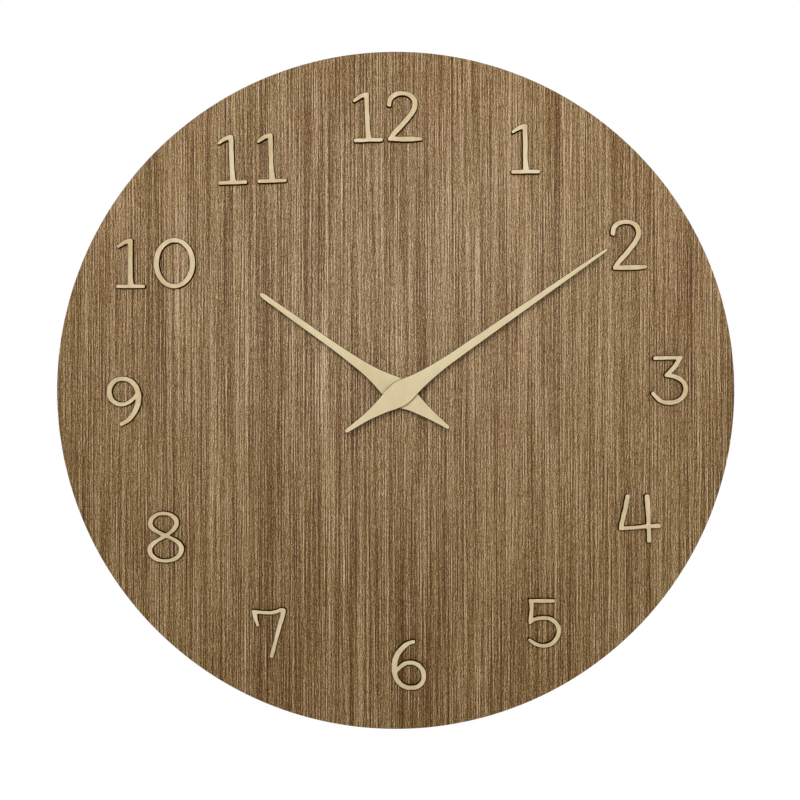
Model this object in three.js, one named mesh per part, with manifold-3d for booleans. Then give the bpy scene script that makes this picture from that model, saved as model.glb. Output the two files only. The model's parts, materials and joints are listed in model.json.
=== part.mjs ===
// A round wall clock. A veneered wooden disc carries cut-out wooden figures, and a battery quartz
// movement behind it turns two push-on hands in front of it.
// Millimetres, +Z up, the dial faces -Y. The origin is on the axis of the hands, in the wall's plane.
import * as THREE from "three";
import { mergeVertices } from "three/addons/utils/BufferGeometryUtils.js";
import Module from "manifold-3d";

const wasm = await Module();
wasm.setup();

// Disc. Its centre lies a little left of and above the axis of the hands.
const dialDiameter = 340;
const dialCentre = [-2.4, 1.6];
const coreThickness = 5;
const veneerThickness = 0.5;
const dialSides = 96;

// Figures: a ring round its own centre, turned a little anticlockwise.
const ringInset = 32.6;
const ringCentre = [-1.4, 1.5];
const ringTurn = 2.25;
const figureThickness = 2.5;
const glyphSteps = 2;
const noughtHalfWidth = 9.1;
const noughtHalfHeight = 11.5;
const noughtSideWidth = 2.7;
const noughtTopWidth = 2.3;
const noughtSides = 28;

// How far the end of a cut line bows out, as a share of the line's width
const endBow = 0.15;

// Hands
const handThickness = 0.75;
const minuteReach = 125;
const minuteTail = 33.5;
const minuteWidth = 12.3;
const minuteAngle = 55.1;
const hourReach = 85.8;
const hourTail = 29.8;
const hourWidth = 13.6;
const hourAngle = 305.4;
const handTipWidth = 1.1;
const colletWall = 0.9;
const hourColletLength = 1.25;
const minuteColletLength = 1.5;
const handGap = 0.25;

// Battery, of the standard AA size
const batteryDiameter = 14.5;
const batteryLength = 50.5;
const batteryNubDiameter = 5.25;
const batteryNubLength = 1.25;
const batteryGap = 0.125;

// Movement case
const caseWall = 1.25;
const caseCorner = 3;
const coverThickness = 1.25;
const partitionThickness = 1;
const chamberUp = 26.75;
const chamberDown = 10.5;
const fitGap = 0.25;
const bayPlay = 0.75;
const postRadius = 1.75;
const postInset = 3.25;
const postLift = 11.5;
const thumbNotchWidth = 16;
const thumbNotchDepth = 4;
const latchWidth = 6;
const latchLength = 3;
const latchThickness = 0.75;
const latchNose = 0.5;
const latchNoseLength = 1;
const latchNoseDrop = 0.5;

// Fixing through the dial
const bushingRadius = 4;
const bushingGap = 0.25;
const threadBeyondNut = 0.5;
const nutAcrossFlats = 12;
const nutThickness = 2.5;
const washerRadius = 6.5;
const washerThickness = 0.5;
const gasketRadius = 10;
const gasketThickness = 1;

// Hanger: a steel plate between the case and the dial, with a loop above the case
const hangerThickness = 1;
const hangerHalfWidth = 11;
const hangerRise = 31;
const loopRadius = 5;
const loopFoot = 3.5;
const loopLift = 2.5;
const nailNotchRadius = 1.75;

// Wheels and pinions
const wheelThickness = 0.75;
const centreDistance = 7.5;
const stepDownDistance = 7.7;
const rotorDistance = 6.6;
const motionDistance = 8;
const thirdBearing = 180;
const intermediateBearing = 20;
const rotorBearing = 45;
const transferBearing = 135;
const knobBearing = 135;
const rotorTeeth = 10;
const intermediateTeeth = 50;
const intermediatePinionTeeth = 10;
const secondTeeth = 60;
const secondPinionTeeth = 8;
const thirdTeeth = 60;
const thirdPinionTeeth = 8;
const centreTeeth = 64;
const cannonTeeth = 12;
const transferTeeth = 36;
const transferPinionTeeth = 10;
const hourTeeth = 40;
const knobTeeth = 12;

// Teeth: straight-sided, thin enough to run freely, given as shares of the module. A pinion has
// flat gaps, and a wheel of many teeth has deeper gaps that narrow to a line.
const toothAddendum = 0.85;
const toothRootWidth = 1.35;
const toothTipWidth = 0.55;
const flatGapDepth = 1.15;
const narrowGapDepth = 1.65;
const mostPinionTeeth = 20;

// Arbors and tubes
const arborRadius = 0.5;
const bossLength = 2.75;
const pivotLength = 1.5;
const pivotGap = 0.08;
const tubeGap = 0.1;
const pivotEndGap = 0.125;
const minuteTubeRadius = 1.6;
const hourTubeRadius = 2.5;
const trainBack = 3;
const plateBack = 7.5;
const plateThickness = 1;

// Motor
const magnetRadius = 3;
const magnetLength = 3.5;
const statorGap = 0.5;
const statorThickness = 1;
const statorHalfWidth = 8;
const statorLegWidth = 3.25;
const statorFoot = 5;
const coilLift = 19.5;
const coilRadius = 3.75;
const coilCoreWidth = 2.5;
const bobbinFlange = 0.6;
const bobbinRadius = 4;
const bobbinTubeRadius = 2.25;
const windowGap = 0.35;

// Setting knob
const knobRadius = 5.5;
const knobThickness = 1.75;
const knobRecess = 0.25;
const knobRidges = 20;
const knobRidgeDepth = 0.35;
const knobFlange = 0.6;
const knobFlangeThickness = 0.5;
const knobShaftRadius = 1.25;

// Circuit and contacts
const boardThickness = 0.75;
const boardFoot = 15.5;
const boardRight = 1.5;
const boardArm = 1.75;
const chipSide = 5;
const chipThickness = 1;
const crystalRadius = 1.5;
const crystalLength = 8;
const crystalInset = 3;
const crystalHeight = 18.5;
const contactThickness = 0.5;
const contactWidth = 10;
const contactLead = 2;
const springLength = 1.625;
const springGap = 0.25;
const contactFoot = 3;

// Depths, counted from the wall toward the viewer
const frontInner = 2 * batteryGap + batteryDiameter;
const caseFront = frontInner + caseWall;
const hangerFront = caseFront + hangerThickness;
const dialBack = hangerFront + gasketThickness;
const coreBack = dialBack + veneerThickness;
const coreFront = coreBack + coreThickness;
const dialFront = coreFront + veneerThickness;
const figureFront = dialFront + figureThickness;
const washerFront = dialFront + washerThickness;
const nutFront = washerFront + nutThickness;
const bushingFront = nutFront + threadBeyondNut;
const hourColletBack = bushingFront + handGap;
const hourHandBack = hourColletBack + hourColletLength;
const hourHandFront = hourHandBack + handThickness;
const minuteColletBack = hourHandFront + handGap;
const minuteHandBack = minuteColletBack + minuteColletLength;
const minuteHandFront = minuteHandBack + handThickness;
const trainPitch = (plateBack - trainBack) / 3;
const thirdBack = trainBack + trainPitch;
const centreBack = thirdBack + trainPitch;
const plateFront = plateBack + plateThickness;
const motionSpace = frontInner - plateFront;
const transferBack = plateFront + motionSpace / 5;
const hourWheelBack = plateFront + (motionSpace * 3) / 5;
const pivotBottom = coverThickness * 0.3;
const arborBack = pivotBottom + pivotEndGap;
const bossBack = frontInner - bossLength;
const latchBack = coverThickness + latchLength - latchNoseDrop - latchNoseLength;
const statorFront = plateFront + statorThickness;
const coilDepth = statorFront + statorThickness / 2;
const boardFront = plateFront + boardThickness;
const batteryDepth = batteryGap + batteryDiameter / 2;

// Outline of the case, seen from the front
const bayLength = batteryLength + batteryGap + springLength + springGap;
const insideHalfWidth = bayLength / 2 + contactThickness;
const caseHalfWidth = insideHalfWidth + caseWall;
const caseTop = chamberUp + caseWall;
const bayTop = -chamberDown - partitionThickness;
const bayHeight = batteryDiameter + bayPlay;
const bayFoot = bayTop - bayHeight;
const caseFoot = bayFoot - caseWall;
const batteryHeight = bayTop - bayHeight / 2;
const batteryRight = insideHalfWidth - contactThickness - batteryGap;
const bobbinHalfLength = statorHalfWidth - statorLegWidth - windowGap;
const boardSide = insideHalfWidth - contactThickness - 3 * fitGap;
const boardTop = chamberUp - 2 * fitGap;
const crystalLeft = crystalInset - boardSide;
const chipHeight = (boardFoot + boardTop) / 2;

// Places on the dial and of the arbors
const ringRadius = dialDiameter / 2 - ringInset;
const polar = (from, distance, degrees) => [
  from[0] + distance * Math.cos(THREE.MathUtils.degToRad(degrees)),
  from[1] + distance * Math.sin(THREE.MathUtils.degToRad(degrees)),
];
const axis = [0, 0];
const thirdAt = polar(axis, centreDistance, thirdBearing);
const intermediateAt = polar(axis, stepDownDistance, intermediateBearing);
const rotorAt = polar(intermediateAt, rotorDistance, rotorBearing);
const transferAt = polar(axis, motionDistance, transferBearing);
const knobAt = polar(transferAt, motionDistance, knobBearing);
const postsAt = [
  [postInset - insideHalfWidth, postInset - chamberDown],
  [insideHalfWidth - postInset, postInset - chamberDown],
  [postInset - insideHalfWidth, postLift],
  [insideHalfWidth - postInset, postLift],
];

// Finishes
const finishes = {
  walnut: { color: 0x8a7051, roughness: 0.62, metalness: 0 },
  plywood: { color: 0xc8a878, roughness: 0.7, metalness: 0 },
  figure: { color: 0xd5c09c, roughness: 0.7, metalness: 0 },
  hand: { color: 0xdac8a1, roughness: 0.55, metalness: 0 },
  blackPlastic: { color: 0x17181a, roughness: 0.5, metalness: 0 },
  whitePlastic: { color: 0xe9e7e0, roughness: 0.45, metalness: 0 },
  brass: { color: 0xb8954a, roughness: 0.35, metalness: 1 },
  steel: { color: 0xa9abad, roughness: 0.4, metalness: 1 },
  rubber: { color: 0x1c1c1c, roughness: 0.85, metalness: 0 },
  copper: { color: 0xb36b3e, roughness: 0.4, metalness: 1 },
  circuit: { color: 0x2b5a3a, roughness: 0.55, metalness: 0 },
  batteryJacket: { color: 0x3a4148, roughness: 0.35, metalness: 0.3 },
};

// Solids: closed meshes that can be joined and cut

function solid(geometry) {
  const bare = geometry.clone();
  bare.deleteAttribute("normal");
  bare.deleteAttribute("uv");
  const merged = mergeVertices(bare);
  const triVerts = new Uint32Array(merged.index.array);
  const vertProperties = merged.attributes.position.array;
  return new wasm.Manifold(new wasm.Mesh({ numProp: 3, vertProperties, triVerts }));
}

function geometryOf(body) {
  const mesh = body.getMesh();
  const geometry = new THREE.BufferGeometry();
  geometry.setAttribute("position", new THREE.BufferAttribute(mesh.vertProperties, 3));
  geometry.setIndex(new THREE.BufferAttribute(mesh.triVerts, 1));
  return geometry;
}

const join = (...bodies) => bodies.reduce((whole, body) => whole.add(body));
const cut = (body, ...tools) => tools.reduce((whole, tool) => whole.subtract(tool), body);

// A flat outline given thickness between two depths. Faces at one depth match exactly.
function slab(shape, back, front) {
  const geometry = new THREE.ExtrudeGeometry(shape, { depth: 1, bevelEnabled: false });
  const position = geometry.getAttribute("position");
  for (let i = 0; i < position.count; i += 1) position.setZ(i, position.getZ(i) > 0.5 ? front : back);
  return solid(geometry);
}

// Points along an arc, start and sweep in degrees
function arcPoints(radius, at, start, sweep, steps) {
  const points = [];
  for (let i = 0; i <= steps; i += 1) {
    const [x, y] = polar(at, radius, start + (sweep * i) / steps);
    points.push(new THREE.Vector2(x, y));
  }
  return points;
}

const circlePoints = (radius, at, sides) => arcPoints(radius, at, 0, 360, sides).slice(0, -1);

const disc = (radius, at, back, front, sides = 24) =>
  slab(new THREE.Shape(circlePoints(radius, at, sides)), back, front);

function ring(outer, inner, at, back, front, sides = 24, boreSides = sides) {
  const shape = new THREE.Shape(circlePoints(outer, at, sides));
  shape.holes.push(new THREE.Path(circlePoints(inner, at, boreSides)));
  return slab(shape, back, front);
}

function rectangle(left, foot, right, top) {
  const corners = [[left, foot], [right, foot], [right, top], [left, top]];
  return corners.map(([x, y]) => new THREE.Vector2(x, y));
}

const block = (left, foot, back, right, top, front) =>
  slab(new THREE.Shape(rectangle(left, foot, right, top)), back, front);

// A rectangle whose corners are arcs, listed bottom left, bottom right, top right, top left
function roundedRectangle(left, foot, right, top, radii) {
  const centres = [
    [left + radii[0], foot + radii[0], 180],
    [right - radii[1], foot + radii[1], 270],
    [right - radii[2], top - radii[2], 0],
    [left + radii[3], top - radii[3], 90],
  ];
  return centres.flatMap(([x, y, start], corner) =>
    radii[corner] > 0 ? arcPoints(radii[corner], [x, y], start, 90, 4) : [new THREE.Vector2(x, y)],
  );
}

// The left and right ends of what lies between two distances from the middle, on either side
const spanOn = (side, from, to) => (side > 0 ? [from, to] : [-to, -from]);

// A round bar lying along X
function barAlongX(radius, left, right, y, depth, sides) {
  const geometry = new THREE.CylinderGeometry(radius, radius, right - left, sides);
  geometry.rotateZ(Math.PI / 2);
  geometry.translate((left + right) / 2, y, depth);
  return solid(geometry);
}

// A cut line: points [x, y, width] along its middle, joined by a smooth curve, with bowed ends
function ribbon(points, stepsPerSpan, back, front) {
  const curve = new THREE.CatmullRomCurve3(points.map(([x, y, w]) => new THREE.Vector3(x, y, w)));
  const count = (points.length - 1) * stepsPerSpan;
  const left = [];
  const right = [];
  for (let i = 0; i <= count; i += 1) {
    const { x, y, z: width } = curve.getPoint(i / count);
    const tangent = curve.getTangent(i / count);
    const along = new THREE.Vector2(tangent.x, tangent.y).normalize().multiplyScalar(width);
    left.push(new THREE.Vector2(x - along.y / 2, y + along.x / 2));
    right.unshift(new THREE.Vector2(x + along.y / 2, y - along.x / 2));
    if (i === 0) left.unshift(new THREE.Vector2(x - along.x * endBow, y - along.y * endBow));
    if (i === count) left.push(new THREE.Vector2(x + along.x * endBow, y + along.y * endBow));
  }
  return slab(new THREE.Shape([...left, ...right]), back, front);
}

// Figures. Each glyph is about 25 mm tall and lists its cut lines round the middle of its box.
const glyphs = {
  1: [
    [[-6.7, 8.0, 1.4], [-3.6, 10.1, 2.1], [-0.2, 11.4, 2.2]],
    [[-0.1, 11.9, 2.5], [-0.1, -7.5, 2.6], [0.1, -11.2, 3.2]],
    [[-7.1, -11.6, 1.9], [7.1, -11.6, 1.9]],
  ],
  2: [
    [
      [-7.8, 4.8, 2.2], [-7.2, 8.5, 2.4], [-4.7, 10.7, 2.4], [-0.9, 11.3, 2.2], [2.9, 10.3, 2.4],
      [5.0, 7.4, 2.7], [5.0, 4.4, 2.7], [3.7, 1.7, 2.6], [-0.9, -4.2, 2.5], [-5.3, -9.0, 2.5],
      [-6.9, -11.3, 2.2],
    ],
    [[-7.9, -11.5, 2.1], [-2.0, -11.6, 2.4], [5.0, -11.5, 2.4], [8.9, -11.4, 1.5]],
  ],
  3: [
    [[-8.4, 10.8, 1.9], [5.9, 11.1, 1.9]],
    [[4.9, 11.3, 2.4], [2.5, 6.9, 2.4], [-1.9, 2.3, 2.1]],
    [
      [-2.6, 2.5, 2.0], [3.1, 1.3, 2.2], [6.5, -1.2, 2.3], [7.7, -4.5, 2.5], [6.6, -8.1, 2.4],
      [3.7, -10.5, 2.3], [-0.6, -11.5, 2.2], [-4.9, -10.5, 2.1], [-9.1, -6.3, 1.9],
    ],
  ],
  4: [
    [[-6.2, 11.8, 2.4], [-7.5, 4.9, 2.4], [-9.3, -2.5, 2.4], [-9.6, -5.8, 2.2]],
    [[-10.6, -5.1, 1.9], [-2.2, -4.5, 1.9], [4.0, -3.9, 2.1], [9.9, -3.7, 2.4]],
    [[3.3, 11.8, 2.5], [3.7, 5.4, 2.6], [4.1, -1.4, 2.1], [4.4, -11.9, 2.3]],
  ],
  5: [
    [[-7.6, 11.0, 2.0], [5.2, 11.0, 2.0]],
    [[-6.4, 11.6, 2.6], [-6.8, 0.3, 2.2]],
    [
      [-7.6, -0.3, 1.6], [-5.4, 1.5, 1.8], [-1.8, 2.4, 2.0], [2.0, 2.3, 2.0], [5.3, 0.5, 2.1],
      [7.1, -2.5, 2.3], [7.1, -5.6, 2.3], [5.7, -8.5, 2.2], [2.9, -10.8, 2.1], [-0.9, -11.5, 2.0],
      [-4.6, -10.4, 1.9], [-7.8, -8.2, 1.6],
    ],
  ],
  6: [
    [
      [2.9, 11.8, 1.9], [0.1, 11.0, 2.2], [-2.7, 9.0, 2.5], [-5.2, 6.1, 2.8], [-6.8, 2.8, 2.9],
      [-7.3, -0.8, 2.9], [-7.0, -4.4, 2.7], [-5.7, -7.8, 2.4], [-3.2, -10.3, 2.3], [0.4, -11.5, 2.2],
    ],
    [
      [-0.6, -11.4, 2.2], [4.1, -10.9, 2.3], [6.8, -8.5, 2.4], [7.5, -5.2, 2.5], [6.5, -2.0, 2.4],
      [4.2, 0.3, 2.2], [0.9, 1.2, 2.1], [-2.4, 0.5, 2.0], [-5.3, -1.8, 1.9], [-7.0, -4.2, 1.9],
    ],
  ],
  7: [
    [[-5.4, 3.2, 1.4], [-6.6, 6.8, 2.1], [-7.5, 10.9, 2.6]],
    [
      [-8.4, 10.5, 1.7], [-4.0, 10.2, 1.7], [0.3, 9.9, 1.7], [3.4, 10.4, 1.8], [6.1, 11.4, 1.9],
      [8.1, 11.2, 1.6],
    ],
    [[7.3, 11.2, 2.5], [6.5, 7.4, 2.4], [5.2, 3.1, 2.3], [3.1, -4.9, 2.0], [1.2, -12.5, 2.1]],
  ],
  8: [
    [
      [-0.4, 12.0, 1.7], [-4.6, 11.2, 1.9], [-7.4, 8.7, 2.4], [-7.5, 5.5, 2.5], [-4.6, 2.9, 2.0],
      [-0.1, 0.7, 1.9], [4.9, -1.8, 2.0], [7.8, -5.1, 2.6], [6.6, -9.3, 2.3], [2.6, -11.6, 1.8],
      [-1.0, -11.9, 1.7],
    ],
    [
      [-2.6, 12.0, 1.7], [1.7, 11.4, 1.9], [4.8, 9.2, 2.4], [5.3, 6.3, 2.5], [3.4, 3.4, 2.1],
      [-0.1, 0.7, 1.9], [-4.7, -2.0, 2.0], [-7.8, -5.1, 2.5], [-7.3, -8.8, 2.4], [-4.0, -11.3, 1.9],
      [1.0, -11.9, 1.7],
    ],
  ],
  9: [
    [
      [-2.6, 11.3, 2.1], [0.6, 11.2, 2.2], [3.6, 10.0, 2.4], [5.9, 7.4, 2.6], [7.1, 4.0, 2.8],
      [7.2, 0.2, 2.8], [6.1, -3.7, 2.7], [4.3, -6.8, 2.5], [2.0, -9.4, 2.3], [-2.0, -11.7, 2.0],
    ],
    [
      [0.2, 11.4, 2.1], [-3.9, 10.6, 2.3], [-6.6, 7.9, 2.5], [-7.4, 4.3, 2.6], [-6.2, 0.8, 2.4],
      [-3.4, -1.2, 2.2], [0.3, -1.4, 2.0], [3.9, 0.6, 1.9], [6.9, 3.9, 1.9],
    ],
  ],
};

function oval(halfWidth, halfHeight) {
  const round = circlePoints(1, [0, 0], noughtSides);
  return round.map((p) => new THREE.Vector2(p.x * halfWidth, p.y * halfHeight));
}

// The nought is a plain oval, heavier at its sides
function nought() {
  const outer = oval(noughtHalfWidth + noughtSideWidth / 2, noughtHalfHeight + noughtTopWidth / 2);
  const inner = oval(noughtHalfWidth - noughtSideWidth / 2, noughtHalfHeight - noughtTopWidth / 2);
  const shape = new THREE.Shape(outer);
  shape.holes.push(new THREE.Path(inner));
  return slab(shape, dialFront, figureFront);
}

function glyph(name) {
  if (name === "0") return nought();
  const steps = (points) => (points.length === 2 ? 1 : glyphSteps);
  return join(...glyphs[name].map((points) => ribbon(points, steps(points), dialFront, figureFront)));
}

// Hour, tilt in degrees, and its figures as [node, glyph, shift along the line, lift, own turn]
const hourMarks = [
  [1, 0.8, [["numeral_1", "1", 0, -0.5, 0]]],
  [2, 1.2, [["numeral_2", "2", -0.7, -0.2, 0]]],
  [3, 0, [["numeral_3", "3", -0.9, 0, 0]]],
  [4, 0, [["numeral_4", "4", -0.2, 0, 0]]],
  [5, 0, [["numeral_5", "5", 0, 0, 0]]],
  [6, 0, [["numeral_6", "6", 0.2, 0, 0]]],
  [7, 0, [["numeral_7", "7", -0.4, 0.5, 0]]],
  [8, 0, [["numeral_8", "8", 0.2, 0, 0]]],
  [9, 0, [["numeral_9", "9", 0.4, 0, 0]]],
  [10, 0.2, [["numeral_10_one", "1", -12.0, -0.2, 0], ["numeral_10_zero", "0", 9.9, -0.3, 0]]],
  [11, 2.2, [["numeral_11_first", "1", -9.6, -0.2, 0], ["numeral_11_second", "1", 10.1, -0.1, 0]]],
  [12, 2.3, [["numeral_12_one", "1", -9.7, 0, 0], ["numeral_12_two", "2", 8.8, -0.3, -3]]],
];

function gearPoints(teeth, module, at, phase) {
  const pitchRadius = (teeth * module) / 2;
  const isPinion = teeth <= mostPinionTeeth;
  const root = pitchRadius - (isPinion ? flatGapDepth : narrowGapDepth) * module;
  const tip = pitchRadius + toothAddendum * module;
  const rootTurn = (toothRootWidth * module) / 2 / root;
  const tipTurn = (toothTipWidth * module) / 2 / tip;
  const flat = [[root, -rootTurn], [tip, -tipTurn], [tip, tipTurn], [root, rootTurn]];
  const narrow = [[tip, -tipTurn], [tip, tipTurn], [root, Math.PI / teeth]];
  const corners = isPinion ? flat : narrow;
  const points = [];
  for (let i = 0; i < teeth; i += 1) {
    const middle = phase + (2 * Math.PI * i) / teeth;
    for (const [radius, turn] of corners) {
      const x = at[0] + radius * Math.cos(middle + turn);
      points.push(new THREE.Vector2(x, at[1] + radius * Math.sin(middle + turn)));
    }
  }
  return points;
}

const gear = (mesh, side, at, back, front) =>
  slab(new THREE.Shape(gearPoints(mesh.teeth[side], mesh.module, at, mesh.phases[side])), back, front);

// Two gears in mesh: the module that fills their distance, and phases that put a tooth in a gap
function meshOf(teeth, distance, bearing, phase = 0) {
  const toward = THREE.MathUtils.degToRad(bearing);
  const follower = toward + Math.PI - ((phase - toward) * teeth[0]) / teeth[1] - Math.PI / teeth[1];
  return { teeth, module: (2 * distance) / (teeth[0] + teeth[1]), phases: [phase, follower] };
}

const rotorMesh = meshOf([rotorTeeth, intermediateTeeth], rotorDistance, rotorBearing + 180);
const stepMesh = meshOf([intermediatePinionTeeth, secondTeeth], stepDownDistance, intermediateBearing + 180);
const thirdMesh = meshOf([secondPinionTeeth, thirdTeeth], centreDistance, thirdBearing);
const centreMesh = meshOf([thirdPinionTeeth, centreTeeth], centreDistance, thirdBearing + 180);
const cannonMesh = meshOf([cannonTeeth, transferTeeth], motionDistance, transferBearing);
const hourMesh = meshOf([transferPinionTeeth, hourTeeth], motionDistance, transferBearing + 180);
const knobMesh = meshOf([transferTeeth, knobTeeth], motionDistance, knobBearing, cannonMesh.phases[1]);

// Dial

function dialLayer(back, front) {
  const shape = new THREE.Shape(circlePoints(dialDiameter / 2, dialCentre, dialSides));
  shape.holes.push(new THREE.Path(circlePoints(bushingRadius + bushingGap, axis, 24)));
  return slab(shape, back, front);
}

// Hands: stations [distance, width] as shares of the reach or tail and of the full width
const minuteFront = [
  [0.036, 0.9], [0.071, 0.73], [0.131, 0.54], [0.21, 0.4], [0.37, 0.32], [0.61, 0.25], [0.845, 0.18],
  [0.98, 0.12],
];
const minuteRear = [[0.17, 0.86], [0.29, 0.66], [0.47, 0.45], [0.65, 0.29], [0.88, 0.19], [0.975, 0.14]];
const hourFront = [
  [0.04, 0.97], [0.1, 0.78], [0.17, 0.57], [0.23, 0.45], [0.29, 0.38], [0.46, 0.27], [0.69, 0.235],
  [0.9, 0.195], [0.98, 0.17],
];
const hourRear = [[0.14, 0.89], [0.26, 0.69], [0.5, 0.44], [0.7, 0.295], [0.88, 0.19], [0.975, 0.14]];

function handStations(front, rear, reach, tail, width) {
  const before = front.map(([along, share]) => [0, along * reach, share * width]);
  const behind = rear.map(([along, share]) => [0, -along * tail, share * width]).reverse();
  const bow = handTipWidth * endBow;
  const tailEnd = [0, bow - tail, handTipWidth];
  return [tailEnd, ...behind, [0, 0, width], ...before, [0, reach - bow, handTipWidth]];
}

function minuteHand() {
  const stations = handStations(minuteFront, minuteRear, minuteReach, minuteTail, minuteWidth);
  return ribbon(stations, 2, minuteHandBack, minuteHandFront);
}

function hourHand() {
  const stations = handStations(hourFront, hourRear, hourReach, hourTail, hourWidth);
  const blade = ribbon(stations, 2, hourHandBack, hourHandFront);
  return cut(blade, disc(hourTubeRadius + tubeGap, axis, hourHandBack - 1, hourHandFront + 1));
}

function collet(tubeRadius, back, front) {
  const bore = tubeRadius + tubeGap;
  return ring(bore + colletWall, bore, axis, back, front);
}

// Fixing

function hexNut() {
  const corner = nutAcrossFlats / 2 / Math.cos(Math.PI / 6);
  return ring(corner, bushingRadius + fitGap / 2, axis, washerFront, nutFront, 6, 24);
}

const washer = () => ring(washerRadius, bushingRadius + fitGap / 2, axis, dialFront, washerFront);
const gasket = () => ring(gasketRadius, bushingRadius + bushingGap, axis, hangerFront, dialBack);

function hangerPlate() {
  const outline = [
    ...arcPoints(hangerHalfWidth, axis, 180, 180, 16),
    ...arcPoints(hangerHalfWidth, [0, hangerRise], 0, 180, 16),
  ];
  const plate = slab(new THREE.Shape(outline), caseFront, hangerFront);
  const loopCentre = [0, hangerRise + loopLift];
  const before = caseFront - 1;
  const beyond = hangerFront + 1;
  return cut(
    plate,
    disc(bushingRadius + bushingGap, axis, before, beyond),
    disc(loopRadius, loopCentre, before, beyond),
    block(-loopRadius, loopCentre[1] - loopFoot, before, loopRadius, loopCentre[1], beyond),
    disc(nailNotchRadius, [0, loopCentre[1] + loopRadius], before, beyond, 16),
  );
}

// Movement case: one shell with a gear chamber, a battery bay below it and the threaded bushing

function movementCase() {
  const corners = [caseCorner, caseCorner, caseCorner, caseCorner];
  const outline = roundedRectangle(-caseHalfWidth, caseFoot, caseHalfWidth, caseTop, corners);
  const shell = slab(new THREE.Shape(outline), 0, caseFront);
  const beyond = caseHalfWidth + 1;
  const coverSeat = block(-beyond, -chamberDown, -1, beyond, caseTop + 1, coverThickness);
  const side = insideHalfWidth;
  const chamber = block(-side, -chamberDown, coverThickness - 1, side, chamberUp, frontInner);
  const bay = block(-side, bayFoot, -1, side, bayTop, frontInner);
  const halfNotch = thumbNotchWidth / 2;
  const thumbNotch = block(-halfNotch, caseFoot - 1, -1, halfNotch, bayFoot + 1, thumbNotchDepth);
  const bushing = disc(bushingRadius, axis, frontInner, bushingFront);
  const bore = disc(hourTubeRadius + tubeGap, axis, frontInner - 1, bushingFront + 1);
  const posts = postsAt.map((at) => disc(postRadius, at, plateFront, frontInner + caseWall / 2, 12));
  const rotorBoss = disc(postRadius, rotorAt, bossBack, frontInner + caseWall / 2, 12);
  const knobBoss = disc(postRadius, knobAt, bossBack, frontInner + caseWall / 2, 12);
  const pivotHole = (at, back, front) => disc(arborRadius + pivotGap, at, back, front, 12);
  return cut(
    join(cut(shell, coverSeat, chamber, bay, thumbNotch), bushing, ...posts, rotorBoss, knobBoss),
    bore,
    pivotHole(rotorAt, bossBack - 1, frontInner),
    pivotHole(knobAt, bossBack - 1, frontInner),
    pivotHole(transferAt, frontInner - 1, frontInner + caseWall / 2),
    ...[-1, 1].map(leadNotch),
    ...[-1, 1].map(latchWindow),
  );
}

// The slot in the partition that a contact's lead passes through
function leadNotch(side) {
  const [left, right] = spanOn(side, insideHalfWidth - contactThickness - fitGap, insideHalfWidth);
  const front = boardFront + contactLead + fitGap;
  return block(left, bayTop - 1, boardFront - fitGap, right, 1 - chamberDown, front);
}

// Latches: the cover's tongues snap into windows in the side walls
function latchWindow(side) {
  const [left, right] = spanOn(side, insideHalfWidth - 1, caseHalfWidth + 1);
  const reach = latchWidth / 2 + fitGap;
  return block(left, -reach, latchBack - fitGap, right, reach, latchBack + latchNoseLength + fitGap);
}

function latch(side) {
  const outer = insideHalfWidth - fitGap;
  const reach = latchWidth / 2;
  const [left, right] = spanOn(side, outer - latchThickness, outer);
  const tongue = block(left, -reach, coverThickness / 2, right, reach, coverThickness + latchLength);
  const [noseLeft, noseRight] = spanOn(side, outer - latchThickness / 2, outer + latchNose);
  return join(tongue, block(noseLeft, -reach, latchBack, noseRight, reach, latchBack + latchNoseLength));
}

function movementCover() {
  const foot = fitGap - chamberDown;
  const corners = [0, 0, caseCorner, caseCorner];
  const outline = roundedRectangle(-caseHalfWidth, foot, caseHalfWidth, caseTop, corners);
  const plate = slab(new THREE.Shape(outline), 0, coverThickness);
  const posts = postsAt.map((at) => disc(postRadius, at, coverThickness / 2, plateBack, 12));
  const blind = (at) => disc(arborRadius + pivotGap, at, pivotBottom, coverThickness + 1, 12);
  return cut(
    join(plate, ...posts, latch(-1), latch(1)),
    disc(knobRadius + fitGap, knobAt, -1, coverThickness + 1),
    blind(axis),
    blind(thirdAt),
    blind(intermediateAt),
    blind(rotorAt),
  );
}

function middlePlate() {
  const side = insideHalfWidth - fitGap;
  const foot = fitGap - chamberDown;
  const plate = block(-side, foot, plateBack, side, chamberUp - fitGap, plateFront);
  const through = (radius, at, sides) => disc(radius, at, plateBack - 1, plateFront + 1, sides);
  const halfWindow = bobbinHalfLength + windowGap;
  const window = block(
    rotorAt[0] - halfWindow, coilLift - bobbinRadius - windowGap, plateBack - 1,
    rotorAt[0] + halfWindow, coilLift + bobbinRadius + windowGap, plateFront + 1,
  );
  return cut(
    plate,
    window,
    through(minuteTubeRadius + tubeGap, axis, 24),
    through(arborRadius + pivotGap, thirdAt, 12),
    through(arborRadius + pivotGap, intermediateAt, 12),
    through(arborRadius + pivotGap, transferAt, 12),
    through(magnetRadius + statorGap, rotorAt, 24),
    through(knobShaftRadius + tubeGap, knobAt, 16),
  );
}

// Wheels. Each turns on an arbor between two plates.

const arbor = (at, back, front) => disc(arborRadius, at, back, front, 12);

function secondWheel() {
  return join(
    gear(stepMesh, 1, axis, trainBack, trainBack + wheelThickness),
    gear(thirdMesh, 0, axis, trainBack + wheelThickness / 2, centreBack - 2 * fitGap),
    arbor(axis, arborBack, minuteHandBack - 2 * fitGap),
  );
}

function thirdWheel() {
  return join(
    gear(thirdMesh, 1, thirdAt, thirdBack, thirdBack + wheelThickness),
    gear(centreMesh, 0, thirdAt, thirdBack + wheelThickness / 2, plateBack - fitGap),
    arbor(thirdAt, arborBack, plateFront - fitGap),
  );
}

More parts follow.
